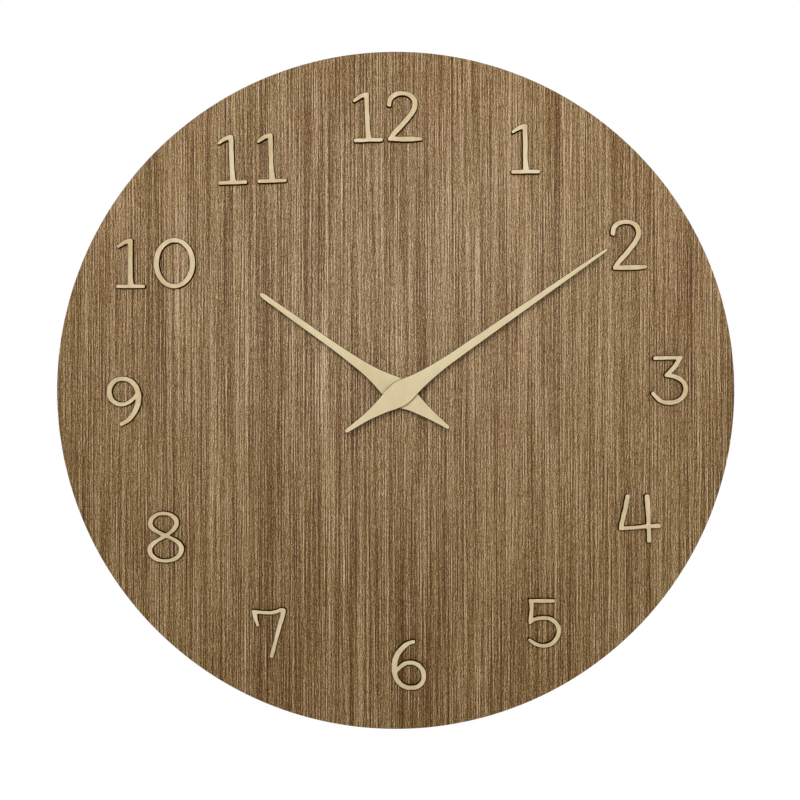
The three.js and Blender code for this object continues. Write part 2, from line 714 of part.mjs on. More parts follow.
function intermediateWheel() {
  return join(
    gear(rotorMesh, 1, intermediateAt, thirdBack, thirdBack + wheelThickness),
    gear(stepMesh, 0, intermediateAt, trainBack - fitGap, thirdBack + wheelThickness / 2),
    arbor(intermediateAt, arborBack, plateFront - fitGap),
  );
}

function rotor() {
  const pinionBack = thirdBack - fitGap;
  const pinionFront = thirdBack + wheelThickness + fitGap;
  const magnetBack = plateBack - fitGap;
  return join(
    gear(rotorMesh, 0, rotorAt, pinionBack, pinionFront),
    disc(magnetRadius / 3, rotorAt, pinionFront, magnetBack, 12),
    disc(magnetRadius, rotorAt, magnetBack, magnetBack + magnetLength),
    arbor(rotorAt, arborBack, bossBack + pivotLength),
  );
}

// The centre wheel grips the minute arbor as a slipping clutch, so it has a bore and a hub
function centreWheel() {
  const bore = disc(minuteTubeRadius + tubeGap, axis, 0, caseFront);
  return cut(
    join(
      gear(centreMesh, 1, axis, centreBack, centreBack + wheelThickness),
      disc(minuteTubeRadius * 1.75, axis, centreBack, plateBack - fitGap),
    ),
    bore,
  );
}

// The minute arbor: a tube with the cannon pinion, running from the clutch to the minute hand
function minuteArbor() {
  return cut(
    join(
      disc(minuteTubeRadius, axis, centreBack - fitGap, minuteHandBack),
      gear(cannonMesh, 0, axis, plateFront + fitGap, hourWheelBack - 3 * fitGap),
    ),
    disc(arborRadius + tubeGap, axis, 0, minuteHandBack + 1, 16),
  );
}

function transferWheel() {
  return join(
    gear(cannonMesh, 1, transferAt, transferBack, transferBack + wheelThickness),
    gear(hourMesh, 0, transferAt, transferBack + wheelThickness / 2, hourWheelBack + wheelThickness + fitGap),
    arbor(transferAt, plateBack + fitGap, frontInner + caseWall / 4),
  );
}

function hourWheel() {
  return cut(
    join(
      gear(hourMesh, 1, axis, hourWheelBack, hourWheelBack + wheelThickness),
      disc(hourTubeRadius, axis, hourWheelBack, hourHandFront),
    ),
    disc(minuteTubeRadius + tubeGap, axis, 0, minuteHandBack),
  );
}

// Setting knob: a ridged disc in the cover, a shaft, and a pinion on the transfer wheel
function settingKnob() {
  const ridged = [];
  for (let i = 0; i < knobRidges * 2; i += 1) {
    const radius = knobRadius - (i % 2) * knobRidgeDepth;
    const [x, y] = polar(knobAt, radius, (180 * i) / knobRidges);
    ridged.push(new THREE.Vector2(x, y));
  }
  const flangeBack = coverThickness + fitGap;
  const pinionFront = transferBack + wheelThickness + fitGap;
  return join(
    slab(new THREE.Shape(ridged), knobRecess, knobRecess + knobThickness),
    disc(knobRadius + fitGap + knobFlange, knobAt, flangeBack, flangeBack + knobFlangeThickness),
    disc(knobShaftRadius, knobAt, knobRecess, transferBack - fitGap / 2, 16),
    gear(knobMesh, 1, knobAt, transferBack - fitGap, pinionFront),
    arbor(knobAt, transferBack, frontInner - pivotEndGap),
  );
}

// Motor

function stator() {
  const [x, y] = rotorAt;
  const top = coilLift + coilCoreWidth;
  const plate = block(x - statorHalfWidth, y - statorFoot, plateFront, x + statorHalfWidth, top, statorFront);
  const halfWindow = statorHalfWidth - statorLegWidth;
  const foot = coilLift - bobbinRadius - windowGap;
  const window = block(x - halfWindow, foot, plateFront - 1, x + halfWindow, top + 1, statorFront + 1);
  return cut(plate, window, disc(magnetRadius + statorGap, rotorAt, plateFront - 1, statorFront + 1));
}

function coilCore() {
  const [left, right] = [rotorAt[0] - statorHalfWidth, rotorAt[0] + statorHalfWidth];
  const foot = coilLift - coilCoreWidth / 2;
  return block(left, foot, statorFront, right, foot + coilCoreWidth, statorFront + statorThickness);
}

function coilBobbin() {
  const [left, right] = [rotorAt[0] - bobbinHalfLength, rotorAt[0] + bobbinHalfLength];
  const bar = (radius, from, to) => barAlongX(radius, from, to, coilLift, coilDepth, 20);
  const foot = coilLift - coilCoreWidth / 2 - fitGap / 2;
  const top = coilLift + coilCoreWidth / 2 + fitGap / 2;
  const back = coilDepth - statorThickness / 2 - fitGap / 2;
  const front = coilDepth + statorThickness / 2 + fitGap / 2;
  return cut(
    join(
      bar(bobbinRadius, left, left + bobbinFlange),
      bar(bobbinTubeRadius, left, right),
      bar(bobbinRadius, right - bobbinFlange, right),
    ),
    block(left - 1, foot, back, right + 1, top, front),
  );
}

function coilWinding() {
  const x = rotorAt[0];
  const end = bobbinHalfLength - bobbinFlange - fitGap / 2;
  return cut(
    barAlongX(coilRadius, x - end, x + end, coilLift, coilDepth, 20),
    barAlongX(bobbinTubeRadius + fitGap / 2, x - end - 1, x + end + 1, coilLift, coilDepth, 20),
  );
}

// Circuit

function circuitBoard() {
  return join(
    block(-boardSide, boardFoot, plateFront, boardRight, boardTop, boardFront),
    block(0, boardTop - boardArm, plateFront, boardSide, boardTop, boardFront),
  );
}

function clockChip() {
  const left = -boardSide / 2;
  const foot = chipHeight - chipSide / 2;
  return block(left, foot, boardFront, left + chipSide, foot + chipSide, boardFront + chipThickness);
}

function quartzCrystal() {
  const depth = boardFront + crystalRadius + fitGap / 2;
  return barAlongX(crystalRadius, crystalLeft, crystalLeft + crystalLength, crystalHeight, depth, 12);
}

// Battery contacts: a plate in the bay, a lead along the side wall and a foot on the circuit board
function contact(side, pressed) {
  const inner = insideHalfWidth - contactThickness;
  const [left, right] = spanOn(side, inner, insideHalfWidth);
  const half = contactWidth / 2;
  const [back, front] = [batteryDepth - half, batteryDepth + half];
  const plate = block(left, batteryHeight - half, back, right, batteryHeight + half, front);
  const leadBack = boardFront + fitGap / 2;
  const lead = block(left, batteryHeight, leadBack, right, boardTop, boardFront + contactLead);
  const [footLeft, footRight] = spanOn(side, boardSide - contactFoot, insideHalfWidth);
  const footFront = leadBack + contactThickness;
  const foot = block(footLeft, boardTop - boardArm, leadBack, footRight, boardTop, footFront);
  if (!pressed) return join(plate, lead, foot);
  const [bumpLeft, bumpRight] = spanOn(side, inner - springLength, inner + contactThickness / 2);
  const bump = barAlongX(contactWidth / 3, bumpLeft, bumpRight, batteryHeight, batteryDepth, 16);
  return join(plate, lead, foot, bump);
}

function battery() {
  const nubLeft = batteryRight - batteryNubLength;
  const left = batteryRight - batteryLength;
  return join(
    barAlongX(batteryDiameter / 2, left, nubLeft, batteryHeight, batteryDepth, 32),
    barAlongX(batteryNubDiameter / 2, nubLeft - 1, batteryRight, batteryHeight, batteryDepth, 16),
  );
}

// Assembly

function piece(name, finish, body) {
  const material = new THREE.MeshStandardMaterial({ name: finish, ...finishes[finish] });
  const mesh = new THREE.Mesh(geometryOf(body), material);
  mesh.name = name;
  return mesh;
}

function turned(degreesClockwise, ...children) {
  const group = new THREE.Group();
  group.rotation.z = -THREE.MathUtils.degToRad(degreesClockwise);
  for (const child of children) group.add(child);
  return group;
}

function dial() {
  const group = new THREE.Group();
  group.add(
    piece("back_veneer", "walnut", dialLayer(dialBack, coreBack)),
    piece("dial_core", "plywood", dialLayer(coreBack, coreFront)),
    piece("front_veneer", "walnut", dialLayer(coreFront, dialFront)),
  );
  return group;
}

function figures() {
  const group = new THREE.Group();
  for (const [hour, tilt, parts] of hourMarks) {
    const [x, y] = polar(ringCentre, ringRadius, 90 - 30 * hour + ringTurn);
    const mark = turned(-tilt);
    mark.position.set(x, y, 0);
    for (const [name, shape, shift, lift, turn] of parts) {
      const figure = piece(name, "figure", glyph(shape));
      figure.position.set(shift, lift, 0);
      figure.rotation.z = THREE.MathUtils.degToRad(turn);
      mark.add(figure);
    }
    group.add(mark);
  }
  return group;
}

function hands() {
  const group = new THREE.Group();
  const hourCollet = collet(hourTubeRadius, hourColletBack, hourHandBack);
  const minuteCollet = collet(minuteTubeRadius, minuteColletBack, minuteHandBack);
  group.add(
    turned(
      hourAngle,
      piece("hour_hand", "hand", hourHand()),
      piece("hour_collet", "brass", hourCollet),
    ),
    turned(
      minuteAngle,
      piece("minute_hand", "hand", minuteHand()),
      piece("minute_collet", "brass", minuteCollet),
    ),
  );
  return group;
}

function fixing() {
  const group = new THREE.Group();
  group.add(
    piece("hex_nut", "brass", hexNut()),
    piece("washer", "brass", washer()),
    piece("rubber_gasket", "rubber", gasket()),
    piece("hanger_plate", "steel", hangerPlate()),
  );
  return group;
}

function movement() {
  const group = new THREE.Group();
  group.add(
    piece("movement_case", "blackPlastic", movementCase()),
    piece("movement_cover", "blackPlastic", movementCover()),
    piece("middle_plate", "whitePlastic", middlePlate()),
    piece("setting_knob", "whitePlastic", settingKnob()),
    piece("second_wheel", "whitePlastic", secondWheel()),
    piece("third_wheel", "whitePlastic", thirdWheel()),
    piece("intermediate_wheel", "whitePlastic", intermediateWheel()),
    piece("centre_wheel", "whitePlastic", centreWheel()),
    piece("minute_arbor", "whitePlastic", minuteArbor()),
    piece("transfer_wheel", "whitePlastic", transferWheel()),
    piece("hour_wheel", "whitePlastic", hourWheel()),
    piece("rotor", "steel", rotor()),
    piece("stator", "steel", stator()),
    piece("coil_core", "steel", coilCore()),
    piece("coil_bobbin", "whitePlastic", coilBobbin()),
    piece("coil_winding", "copper", coilWinding()),
    piece("circuit_board", "circuit", circuitBoard()),
    piece("clock_chip", "blackPlastic", clockChip()),
    piece("quartz_crystal", "steel", quartzCrystal()),
    piece("positive_contact", "steel", contact(1, false)),
    piece("negative_contact", "steel", contact(-1, true)),
    piece("battery", "batteryJacket", battery()),
  );
  return group;
}

// Everything above is drawn facing +Z; the clock hangs upright, facing -Y
const clock = new THREE.Group();
clock.rotation.x = Math.PI / 2;
clock.add(dial(), figures(), hands(), fixing(), movement());

export default clock;
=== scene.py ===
"""A round wooden wall clock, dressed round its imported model.

The disc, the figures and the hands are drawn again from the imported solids' own outlines, with smooth
lines and eased edges. The movement behind them gets its moulded, metal and battery finishes.
"""

import json
import math

import bmesh
import bpy
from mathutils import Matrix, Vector, geometry, noise


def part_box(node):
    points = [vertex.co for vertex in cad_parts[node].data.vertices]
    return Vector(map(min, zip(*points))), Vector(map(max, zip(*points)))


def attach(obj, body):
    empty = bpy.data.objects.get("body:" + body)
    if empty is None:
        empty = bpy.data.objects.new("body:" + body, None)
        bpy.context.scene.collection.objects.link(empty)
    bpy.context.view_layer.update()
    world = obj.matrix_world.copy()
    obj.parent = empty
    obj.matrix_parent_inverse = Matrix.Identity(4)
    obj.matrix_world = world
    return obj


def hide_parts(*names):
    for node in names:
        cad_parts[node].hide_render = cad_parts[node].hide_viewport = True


MM = 0.001

# The photograph: its width in pixels, a pixel's size at the dial, and the pixel at the dial's centre
PHOTO_WIDTH = 800
PIXEL = 0.502 * MM
DIAL_CENTRE_PIXEL = (395.7, 390.35)

# The camera: its distance in front of the dial, and its sensor's width in millimetres
CAMERA_DISTANCE = 650 * MM
SENSOR_WIDTH = 36

# The studio, in metres: the sides of its two sheets, the floor's height, and how far back the wall is
STAGE_SIZE = 6
FLOOR_HEIGHT = -0.62
WALL_DEPTH = 1.3

# Signs sunk into the movement's back cover, and how far their tools stand out of it
ENGRAVING = 0.5 * MM
TOOL_HEIGHT = 1 * MM
ARROW_GAP = 1.6 * MM
ARROW_WIDTH = 0.7 * MM
ARROW_HEAD_TURN = 22
SIGN_LENGTH = 3.2 * MM
SIGN_WIDTH = 0.8 * MM
SIGN_INSET = 6 * MM
SIGN_HEIGHT = 3.2 * MM

# Smoothed outlines: the gap between their points, the least turn that stays a corner, and the ripple
LINE_STEP = 0.25 * MM
CORNER_TURN = math.radians(42)
RIPPLE_LENGTH = 3.1 * MM

# The cut pieces: rounds of easing, how far the edge ripples, the rim, and how far out the cut leans
FIGURE_EASING = 5
FIGURE_RIPPLE = 0.16 * MM
FIGURE_RIM = 0.25 * MM
FIGURE_LEAN = 0.3 * MM
HAND_EASING = 3
HAND_RIPPLE = 0.04 * MM
HAND_RIM = 0.16 * MM
HAND_LEAN = 0.14 * MM

# Rounded rims: the steps round them, and their sizes on the other flat pieces
RIM_STEPS = 3
RIMS = {
    "front_veneer": 0.12 * MM,
    "dial_core": 0.05 * MM,
    "back_veneer": 0.12 * MM,
    "washer": 0.1 * MM,
    "rubber_gasket": 0.2 * MM,
    "hour_collet": 0.15 * MM,
    "minute_collet": 0.15 * MM,
    "hex_nut": 0.35 * MM,
    "hanger_plate": 0.18 * MM,
}

# The eased edges of the moulded pieces and the contacts
EASES = {
    "movement_cover": 0.2 * MM,
    "movement_case": 0.25 * MM,
    "setting_knob": 0.12 * MM,
    "positive_contact": 0.08 * MM,
    "negative_contact": 0.08 * MM,
}

# Sides of the round outlines, and steps along the battery's bends and the arrows
DISC_SIDES = 720
BORE_SIDES = 64
RING_SIDES = 128
THREAD_SIDES = 96
BATTERY_SIDES = 96
BEND_STEPS = 6
ARROW_STEPS = 24

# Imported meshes: points this close are one, depths this close one face, and a turn this small is flat
WELD = 1e-6
SAME_DEPTH = 1e-5
FLAT_TURN = math.radians(0.5)

# Edges that turn by more than this are shaded sharp, or eased
SHARP_TURN = math.radians(35)
EASED_TURN = math.radians(40)

# The battery: from the sleeve's end to the nub's, the nub's width, the bend of the sleeve's shoulders,
# and the share of the battery's length where the copper band starts
BATTERY_SHOULDER = 1.25 * MM
BATTERY_NUB = 5.25 * MM
SLEEVE_BEND = 0.7 * MM
BAND_START = 0.72

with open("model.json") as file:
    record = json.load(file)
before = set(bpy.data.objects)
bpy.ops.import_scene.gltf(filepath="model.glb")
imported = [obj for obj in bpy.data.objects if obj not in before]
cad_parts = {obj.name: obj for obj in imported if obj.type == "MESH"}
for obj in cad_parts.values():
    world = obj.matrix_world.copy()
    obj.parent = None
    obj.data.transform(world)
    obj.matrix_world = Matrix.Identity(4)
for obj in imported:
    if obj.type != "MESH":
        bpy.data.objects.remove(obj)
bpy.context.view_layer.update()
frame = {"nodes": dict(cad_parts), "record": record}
NODES = frame["nodes"]
SLOTS = {part["node"]: part["material_slot"] for part in frame["record"]["subparts"]}
BODY_OF = {node: body for body, nodes in frame["record"]["behaviour"]["bodies"].items() for node in nodes}


# Colour and node helpers


def srgb(red, green, blue):
    """A display colour, each part 0 to 255, as linear light."""

    def linear(value):
        share = value / 255
        return share / 12.92 if share <= 0.04045 else ((share + 0.055) / 1.055) ** 2.4

    return (linear(red), linear(green), linear(blue), 1)


class Finish:
    """One material's node tree, with short calls for the nodes that the finishes share."""

    def __init__(self, name, roughness, metallic=0.0, specular=0.5):
        self.material = bpy.data.materials.new(name)
        self.material.use_nodes = True
        self.tree = self.material.node_tree
        self.shader = self.tree.nodes["Principled BSDF"]
        self.shader.inputs["Roughness"].default_value = roughness
        self.shader.inputs["Metallic"].default_value = metallic
        self.shader.inputs["Specular IOR Level"].default_value = specular
        self.where = self.tree.nodes.new("ShaderNodeTexCoord")

    def node(self, kind, inputs, **settings):
        """A new shader node, its inputs given as values or as other nodes' outputs."""
        made = self.tree.nodes.new("ShaderNode" + kind)
        for setting, value in settings.items():
            setattr(made, setting, value)
        for socket, value in inputs.items():
            self.feed(made.inputs[socket], value)
        return made

    def feed(self, socket, value):
        if isinstance(value, bpy.types.NodeSocket):
            self.tree.links.new(value, socket)
        else:
            socket.default_value = value

    def math(self, operation, first, second=0.0):
        return self.node("Math", {0: first, 1: second}, operation=operation).outputs[0]

    def level(self, value, low, high, to_low=0.0, to_high=1.0):
        """The value's place between low and high, counted from to_low to to_high and kept within them."""
        inputs = {"Value": value, "From Min": low, "From Max": high, "To Min": to_low, "To Max": to_high}
        return self.node("MapRange", inputs, clamp=True).outputs[0]

    def mix(self, factor, first, second, blend="MIX"):
        """Two colours mixed: the first alone where the factor is 0."""
        inputs = {0: factor, 6: first, 7: second}
        return self.node("Mix", inputs, data_type="RGBA", blend_type=blend).outputs[2]

    def ramp(self, value, stops):
        """A colour for each value, between stops of (value, colour)."""
        made = self.node("ValToRGB", {"Fac": value})
        ramp = made.color_ramp
        ramp.elements[0].position, ramp.elements[1].position = stops[0][0], stops[-1][0]
        for position, _ in stops[1:-1]:
            ramp.elements.new(position)
        for element, (_, colour) in zip(ramp.elements, stops):
            element.color = colour
        return made.outputs[0]

    def stretched(self, sizes, shift=0.0):
        """The place on the piece, counted in features of these sizes in millimetres along x, y and z."""
        scale = [1 / (size * MM) for size in sizes]
        inputs = {"Vector": self.where.outputs["Object"], "Location": [shift] * 3, "Scale": scale}
        return self.node("Mapping", inputs).outputs[0]

    def noise(self, sizes, detail=2.0, shift=0.0, aside=0.0):
        """Smooth noise with features of these sizes, moved aside by a share of a feature."""
        place = self.stretched(sizes, shift)
        if aside:
            place = self.node("VectorMath", {0: place, 1: (aside, 0, 0)}, operation="ADD").outputs[0]
        return self.node("TexNoise", {"Vector": place, "Scale": 1.0, "Detail": detail}).outputs["Fac"]

    def along(self, axis):
        """The place on the piece along one axis, in metres."""
        split = self.node("SeparateXYZ", {0: self.where.outputs["Object"]})
        return split.outputs["XYZ".index(axis)]

    def colour(self, value):
        self.feed(self.shader.inputs["Base Color"], value)

    def roughness(self, value):
        self.feed(self.shader.inputs["Roughness"], value)

    def bump(self, height, depth, strength=1.0):
        """Relief as deep as this many millimetres where the height goes from 0 to 1."""
        inputs = {"Height": height, "Distance": depth * MM, "Strength": strength}
        self.feed(self.shader.inputs["Normal"], self.node("Bump", inputs).outputs[0])

    def grain(self, layers, shift):
        """Stretched noises added up round nought: layers of (x size, y size, z size, detail, weight)."""
        total = 0.0
        for count, (x, y, z, detail, weight) in enumerate(layers):
            wave = self.math("SUBTRACT", self.noise((x, y, z), detail, shift + 7.3 * count), 0.5)
            total = self.math("ADD", total, self.math("MULTIPLY", wave, weight))
        return total

    def crisp(self, layers, shift):
        """Hairlines, pale between dark and dark between pale: layers of (x, y, z size, aside, weight)."""
        total = 0.0
        for count, (x, y, z, aside, weight) in enumerate(layers):
            place = shift + 5.1 * count
            here, left, right = (self.noise((x, y, z), 0.0, place, side) for side in (0.0, -aside, aside))
            beside = self.math("MULTIPLY", self.math("ADD", left, right), 0.5)
            wave = self.math("SUBTRACT", here, beside)
            total = self.math("ADD", total, self.math("MULTIPLY", wave, weight))
        return total


# Finishes


def walnut(name, shift):
    """Straight-grained brown veneer: upright lines that come and go, short pores and soft bands, with
    painted shade that darkens it towards the foot.

    What each layer adds to the shift keeps its pattern apart from the others'.
    """
    finish = Finish(name, 0.54, specular=0.34)
    lines = finish.grain([(0.36, 40, 80, 0.0, 0.75)], shift)
    lines = finish.math("ADD", lines, finish.crisp([(0.6, 40, 30, 0.85, 0.85)], shift + 110))
    broken = finish.level(finish.noise((1.8, 30, 16), 1.0, shift + 90), 0.3, 0.7, 0.3, 1.4)
    long_lines = finish.grain([(0.5, 40, 160, 0.0, 0.42)], shift + 20)
    fibres = finish.grain(
        [(0.3, 40, 0.45, 0.0, 0.9), (0.3, 40, 1.8, 0.0, 0.34), (0.3, 40, 4.5, 0.0, 0.28)],
        shift + 40,
    )
    pores = finish.crisp(
        [(0.6, 40, 0.7, 0.85, 0.42), (0.6, 40, 1.8, 0.85, 0.34), (0.6, 40, 5, 0.85, 0.34)],
        shift + 130,
    )
    bands = finish.grain(
        [
            (1.5, 50, 60, 1.0, 0.43),
            (4, 60, 150, 1.0, 0.3),
            (20, 60, 420, 1.0, 0.2),
            (4.5, 40, 9, 1.0, 0.11),
        ],
        shift + 60,
    )
    seams = finish.level(finish.noise((0.8, 40, 190), 0.0, shift + 80), 0.64, 0.72, 0.0, 0.16)
    value = finish.math("ADD", finish.math("MULTIPLY", lines, broken), 0.5)
    for layer in (long_lines, fibres, pores, bands):
        value = finish.math("ADD", value, layer)
    value = finish.math("SUBTRACT", value, seams)
    # Painted shade: the veneer is made darker towards the foot of the dial, standing in for light that
    # falls off towards the bottom
    painted_foot_shade = finish.level(finish.along("Z"), -0.17, 0.03, 0.09, 0.0)
    value = finish.math("SUBTRACT", value, painted_foot_shade)
    wood = finish.ramp(
        value,
        [
            (0.0, srgb(58, 26, 0)),
            (0.25, srgb(96, 64, 8)),
            (0.5, srgb(133, 105, 62)),
            (0.75, srgb(169, 142, 104)),
            (1.0, srgb(206, 179, 145)),
        ],
    )
    warmth = finish.noise((46, 60, 150), 1.0, shift + 31)
    share = finish.level(warmth, 0.5, 0.72, 0.0, 0.18)
    finish.colour(finish.mix(share, wood, srgb(150, 122, 104), "SOFT_LIGHT"))
    finish.roughness(finish.level(value, 0.2, 0.8, 0.66, 0.46))
    finish.bump(value, 0.05, 0.5)
    return finish.material


def core_board():
    """The cut edge of the board: thin layers of alternating grain."""
    finish = Finish("core_board", 0.75, specular=0.25)
    depth = finish.math("MULTIPLY", finish.along("Y"), 1 / MM)
    waver = finish.math("MULTIPLY", finish.math("SUBTRACT", finish.noise((14, 14, 14)), 0.5), 0.25)
    layer = finish.math("PINGPONG", finish.math("ADD", depth, waver), 1.0)
    end_grain = finish.noise((0.5, 0.25, 0.5), 2.0)
    dark = finish.mix(end_grain, srgb(112, 82, 52), srgb(150, 116, 80))
    light = finish.mix(end_grain, srgb(176, 146, 108), srgb(206, 180, 142))
    finish.colour(finish.mix(finish.level(layer, 0.35, 0.6), dark, light))
    finish.roughness(finish.level(end_grain, 0.3, 0.7, 0.82, 0.68))
    finish.bump(end_grain, 0.06, 0.6)
    return finish.material


def cut_wood(name, pale, deep, shift):
    """The sanded face of pale cut wood, deeper in blotches."""
    finish = Finish(name, 0.58, specular=0.25)
    blotches = finish.grain([(26, 30, 34, 1.0, 1.4), (5, 30, 8, 1.0, 0.8)], shift + 3)
    fibres = finish.grain([(1.4, 30, 6, 1.0, 0.35), (0.5, 30, 2.2, 1.0, 0.3)], shift)
    value = finish.math("ADD", finish.math("ADD", blotches, fibres), 0.5)
    finish.colour(finish.mix(finish.level(value, 0.2, 0.8), deep, pale))
    finish.roughness(finish.level(value, 0.2, 0.8, 0.64, 0.52))
    finish.bump(value, 0.03, 0.5)
    return finish.material


def burnt_edge():
    """Where the beam cut the wood: dull brown walls with darker streaks across their thickness."""
    finish = Finish("burnt_edge", 0.95, specular=0.0)
    smoke = finish.noise((1.1, 3.0, 1.1), 2.0, 5)
    finish.colour(finish.mix(finish.level(smoke, 0.3, 0.7), srgb(38, 19, 1), srgb(68, 41, 7)))
    finish.roughness(finish.level(smoke, 0.3, 0.7, 0.98, 0.88))
    finish.bump(smoke, 0.08, 0.6)
    return finish.material


def moulded(name, dark, light, roughness):
    """Moulded plastic with a fine sparked texture."""
    finish = Finish(name, roughness, specular=0.45)
    spark = finish.noise((0.28, 0.28, 0.28), 2.0)
    cloud = finish.noise((9, 9, 9), 2.0, 11)
    finish.colour(finish.mix(finish.level(finish.math("ADD", spark, cloud), 0.7, 1.3), dark, light))
    finish.roughness(finish.level(cloud, 0.3, 0.7, roughness - 0.06, roughness + 0.08))
    finish.bump(spark, 0.05, 0.5)
    return finish.material


def metal(name, dark, light, roughness, sizes):
    """Sheet or turned metal with fine drawn lines of these sizes and a few duller clouds."""
    finish = Finish(name, roughness, metallic=1.0)
    lines = finish.noise(sizes, 3.0)
    cloud = finish.noise((6, 6, 6), 3.0, 5)
    finish.colour(finish.mix(finish.level(cloud, 0.3, 0.7), dark, light))
    worn = finish.math("ADD", lines, cloud)
    finish.roughness(finish.level(worn, 0.7, 1.3, roughness - 0.1, roughness + 0.14))
    finish.bump(lines, 0.02, 0.4)
    return finish.material


def rubber():
    """Matt black rubber under a little dust."""
    finish = Finish("rubber", 0.85, specular=0.3)
    dust = finish.noise((0.5, 0.5, 0.5), 3.0)
    finish.colour(finish.mix(finish.level(dust, 0.3, 0.8), srgb(26, 26, 27), srgb(48, 47, 46)))
    finish.roughness(finish.level(dust, 0.3, 0.8, 0.76, 0.92))
    finish.bump(dust, 0.06, 0.6)
    return finish.material


def copper_wire():
    """Enamelled wire wound side by side across the bobbin."""
    finish = Finish("copper_wire", 0.35, metallic=1.0)
    turns = finish.node(
        "TexWave",
        {"Vector": finish.stretched((1.2, 1.2, 1.2)), "Scale": 1.0, "Distortion": 0.3, "Detail": 1.0},
        bands_direction="X",
    ).outputs["Fac"]
    tint = finish.noise((1.5, 1.5, 1.5), 2.0)
    wire = finish.mix(tint, srgb(176, 92, 44), srgb(206, 124, 70))
    finish.colour(finish.mix(finish.level(turns, 0.0, 0.4), srgb(70, 30, 14), wire))
    finish.roughness(finish.level(tint, 0.3, 0.7, 0.28, 0.44))
    finish.bump(turns, 0.12)
    return finish.material


def circuit_board():
    """Green board: lacquer over copper lanes and tinned holes, with a fibre weave."""
    finish = Finish("circuit_board", 0.4, specular=0.5)
    place = {"Vector": finish.stretched((9, 9, 9)), "Rotation": (math.pi / 2, 0, 0)}
    flat = finish.node("Mapping", place).outputs[0]
    lane_sizes = {"Mortar Size": 0.018, "Mortar Smooth": 0.1, "Brick Width": 1.7, "Row Height": 0.13}
    bricks = finish.node("TexBrick", {"Vector": flat, "Scale": 1.0} | lane_sizes, offset=0.37)
    lanes = bricks.outputs["Fac"]
    spots = finish.node("TexVoronoi", {"Vector": flat, "Scale": 3.0}, voronoi_dimensions="2D")
    holes = finish.level(spots.outputs["Distance"], 0.13, 0.16, 1.0, 0.0)
    weave = finish.noise((0.35, 0.35, 0.35), 1.0)
    ground = finish.mix(weave, srgb(22, 70, 42), srgb(34, 92, 56))
    lacquered = finish.mix(lanes, ground, srgb(66, 120, 66))
    finish.colour(finish.mix(holes, lacquered, srgb(186, 184, 172)))
    finish.roughness(finish.level(weave, 0.3, 0.7, 0.34, 0.5))
    relief = finish.math("ADD", finish.math("MAXIMUM", lanes, holes), finish.math("MULTIPLY", weave, 0.2))
    finish.bump(relief, 0.04, 0.6)
    return finish.material


def battery_jacket(left, right):
    """A plain dark sleeve with a copper band towards the positive end."""
    finish = Finish("battery_jacket", 0.3, metallic=0.35, specular=0.5)
    band_start = left + BAND_START * (right - left)
    share = finish.level(finish.along("X"), band_start, band_start + 0.1 * MM)
    scuff = finish.noise((3, 3, 3), 4.0)
    dark = finish.mix(scuff, srgb(26, 28, 32), srgb(44, 47, 52))
    band = finish.mix(scuff, srgb(172, 112, 62), srgb(196, 138, 86))
    finish.colour(finish.mix(share, dark, band))
    finish.roughness(finish.level(scuff, 0.3, 0.75, 0.24, 0.42))
    finish.bump(scuff, 0.02, 0.4)
    return finish.material


def make_finishes():
    """The material of each material slot, and that of the burnt edges."""
    battery_low, battery_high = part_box("battery")
    return {
        "walnut_veneer": walnut("walnut_veneer", 0.0),
        "core_board": core_board(),
        "numeral_ply": cut_wood("numeral_ply", srgb(224, 204, 168), srgb(203, 179, 134), 3.0),
        "hand_ply": cut_wood("hand_ply", srgb(216, 200, 159), srgb(210, 191, 150), 17.0),
        "burnt_edge": burnt_edge(),
        "brass": metal("brass", srgb(176, 134, 62), srgb(206, 168, 92), 0.32, (0.12, 3, 3)),
        "steel": metal("steel", srgb(150, 152, 155), srgb(188, 190, 193), 0.36, (3, 3, 0.12)),
        "rubber": rubber(),
        "black_plastic": moulded("black_plastic", srgb(22, 23, 25), srgb(36, 37, 39), 0.5),
        "white_plastic": moulded("white_plastic", srgb(216, 213, 204), srgb(236, 234, 227), 0.42),
        "copper_wire": copper_wire(),
        "circuit_board": circuit_board(),
        "battery_jacket": battery_jacket(battery_low.x, battery_high.x),
    }


# Outlines


def area(loop):
    """Signed area of a closed line of (x, z) points, positive when it runs anticlockwise."""
    return sum(a.x * b.y - b.x * a.y for a, b in zip(loop, loop[1:] + loop[:1])) / 2


def outlines(node, depth):
    """The closed lines, as (x, z) points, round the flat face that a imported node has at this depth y."""
    work = bmesh.new()
    work.from_mesh(NODES[node].data)
    bmesh.ops.remove_doubles(work, verts=work.verts, dist=WELD)
    flat = [
        face for face in work.faces if all(abs(vert.co.y - depth) < SAME_DEPTH for vert in face.verts)
    ]
    flat_set = set(flat)
    following = {}
    for face in flat:
        for loop in face.loops:
            others = [other for other in loop.edge.link_faces if other is not face]
            if not any(other in flat_set for other in others):
                following[loop.vert] = loop.link_loop_next.vert
    lines = []
    while following:
        start, vert = following.popitem()
        line = [start]
        while vert is not start:
            line.append(vert)
            vert = following.pop(vert)
        lines.append([Vector((point.co.x, point.co.z)) for point in line])
    work.free()
    return ordered(lines)


def front_outlines(node):
    """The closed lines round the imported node's front face."""
    return outlines(node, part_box(node)[0].y)


def ordered(lines):
    """The lines with the outermost first and running anticlockwise, and the holes running clockwise."""
    lines = sorted(lines, key=lambda line: -abs(area(line)))
    for count, line in enumerate(lines):
        if (area(line) > 0) == (count > 0):
            line.reverse()
    return lines


def turn_at(before, here, after):
    """How far a line turns at a point, in radians."""
    return abs((here - before).angle_signed(after - here))


